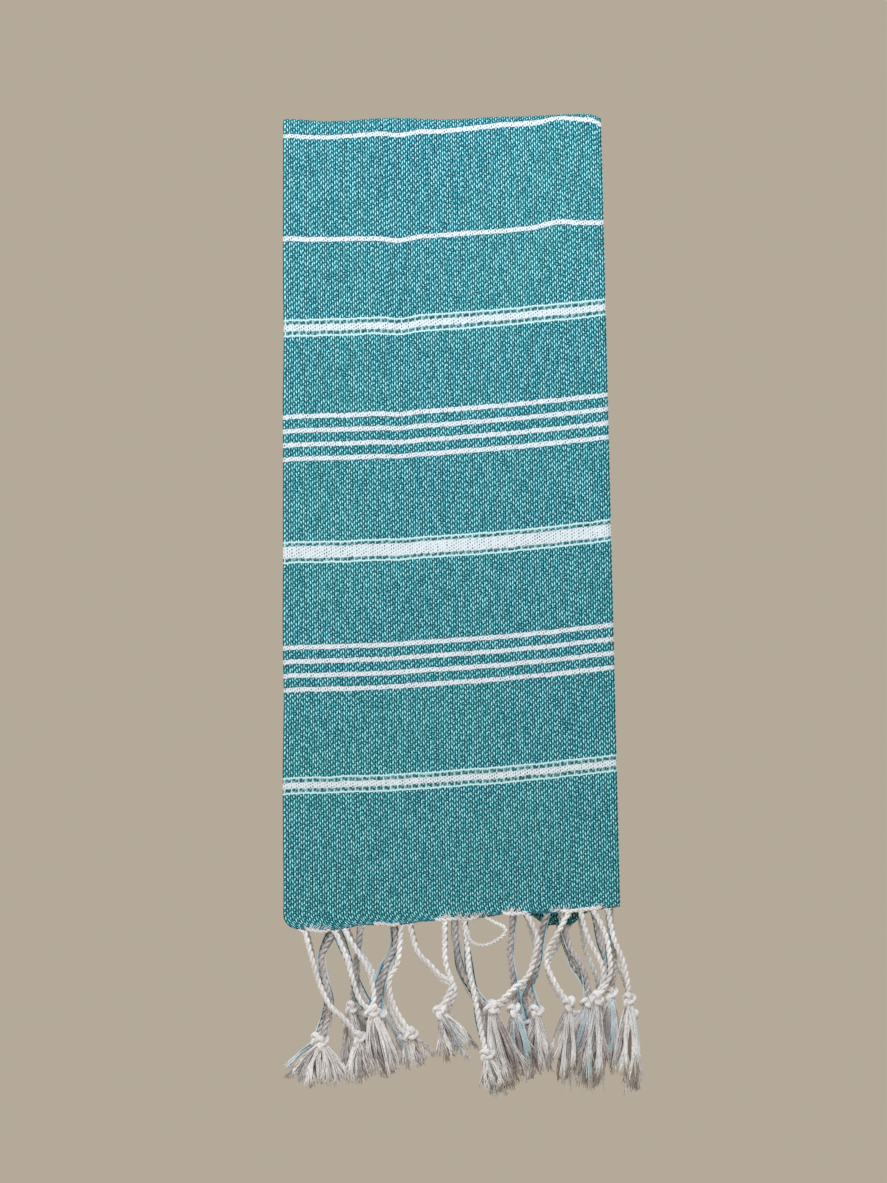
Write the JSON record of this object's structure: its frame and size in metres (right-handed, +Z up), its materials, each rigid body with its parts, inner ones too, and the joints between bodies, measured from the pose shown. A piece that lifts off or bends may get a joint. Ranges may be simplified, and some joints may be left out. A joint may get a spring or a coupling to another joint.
{
  "type": "hand towel",
  "caption": "Flat-woven cotton towel folded lengthwise and hung over a thin rail, with knotted cord fringes on both hems.",
  "frame": {"origin": "the middle of the inside crest of the top fold, where a rail bears", "axes": "+X along the rail towards the open selvage side, -Y out of the front leaf, +Z up"},
  "size_m": [0.2199, 0.0248, 0.6097],
  "materials": {
    "cloth": "flat-woven cotton, teal with pale flecks and white stripes",
    "cord": "undyed two-ply twisted cotton cord"
  },
  "bodies": {
    "rear_half": {"top_fold_inner": "cloth", "top_fold_outer": "cloth", "rear_inner_panel": "cloth", "rear_outer_panel": "cloth", "rear_side_fold": "cloth", "rear_inner_hem_yarn": "cord", "rear_outer_hem_yarn": "cord"},
    "front_half": {"front_inner_panel": "cloth", "front_outer_panel": "cloth", "front_side_fold": "cloth", "front_inner_hem_yarn": "cord", "front_outer_hem_yarn": "cord"},
    "front_left_fringe": {"front_outer_tassel_1": "cord", "front_outer_tassel_2": "cord", "front_outer_tassel_3": "cord", "front_inner_tassel_1": "cord", "front_inner_tassel_2": "cord", "front_inner_tassel_3": "cord"},
    "front_middle_fringe": {"front_outer_tassel_4": "cord", "front_outer_tassel_5": "cord", "front_outer_tassel_6": "cord", "front_inner_tassel_4": "cord", "front_inner_tassel_5": "cord", "front_inner_tassel_6": "cord"},
    "front_right_fringe": {"front_outer_tassel_7": "cord", "front_outer_tassel_8": "cord", "front_outer_tassel_9": "cord", "front_inner_tassel_7": "cord", "front_inner_tassel_8": "cord"},
    "rear_left_fringe": {"rear_outer_tassel_1": "cord", "rear_outer_tassel_2": "cord", "rear_outer_tassel_3": "cord", "rear_inner_tassel_1": "cord", "rear_inner_tassel_2": "cord", "rear_inner_tassel_3": "cord"},
    "rear_middle_fringe": {"rear_outer_tassel_4": "cord", "rear_outer_tassel_5": "cord", "rear_outer_tassel_6": "cord", "rear_inner_tassel_4": "cord", "rear_inner_tassel_5": "cord", "rear_inner_tassel_6": "cord"},
    "rear_right_fringe": {"rear_outer_tassel_7": "cord", "rear_outer_tassel_8": "cord", "rear_outer_tassel_9": "cord", "rear_inner_tassel_7": "cord", "rear_inner_tassel_8": "cord"}
  },
  "joints": [
    {"name": "front_half_lift", "type": "hinge", "parent": "rear_half", "child": "front_half", "pos_m": [0, 0, -0.005], "axis": [-1, 0, 0], "range_deg": [0, 90], "deforming": ["top_fold_inner", "top_fold_outer"]},
    {"name": "front_left_fringe_swing", "type": "hinge", "parent": "front_half", "child": "front_left_fringe", "pos_m": [0.006, -0.00635, -0.4965], "axis": [-0.9974, 0, -0.0721], "range_deg": [0, 60]},
    {"name": "front_middle_fringe_swing", "type": "hinge", "parent": "front_half", "child": "front_middle_fringe", "pos_m": [0.006, -0.00635, -0.4965], "axis": [-0.9974, 0, -0.0721], "range_deg": [0, 60]},
    {"name": "front_right_fringe_swing", "type": "hinge", "parent": "front_half", "child": "front_right_fringe", "pos_m": [0.006, -0.00635, -0.4965], "axis": [-0.9974, 0, -0.0721], "range_deg": [0, 60]},
    {"name": "rear_left_fringe_swing", "type": "hinge", "parent": "rear_half", "child": "rear_left_fringe", "pos_m": [0.0045, 0.00635, -0.501], "axis": [1, 0, 0], "range_deg": [0, 60]},
    {"name": "rear_middle_fringe_swing", "type": "hinge", "parent": "rear_half", "child": "rear_middle_fringe", "pos_m": [0.0045, 0.00635, -0.501], "axis": [1, 0, 0], "range_deg": [0, 60]},
    {"name": "rear_right_fringe_swing", "type": "hinge", "parent": "rear_half", "child": "rear_right_fringe", "pos_m": [0.0045, 0.00635, -0.501], "axis": [1, 0, 0], "range_deg": [0, 60]}
  ]
}
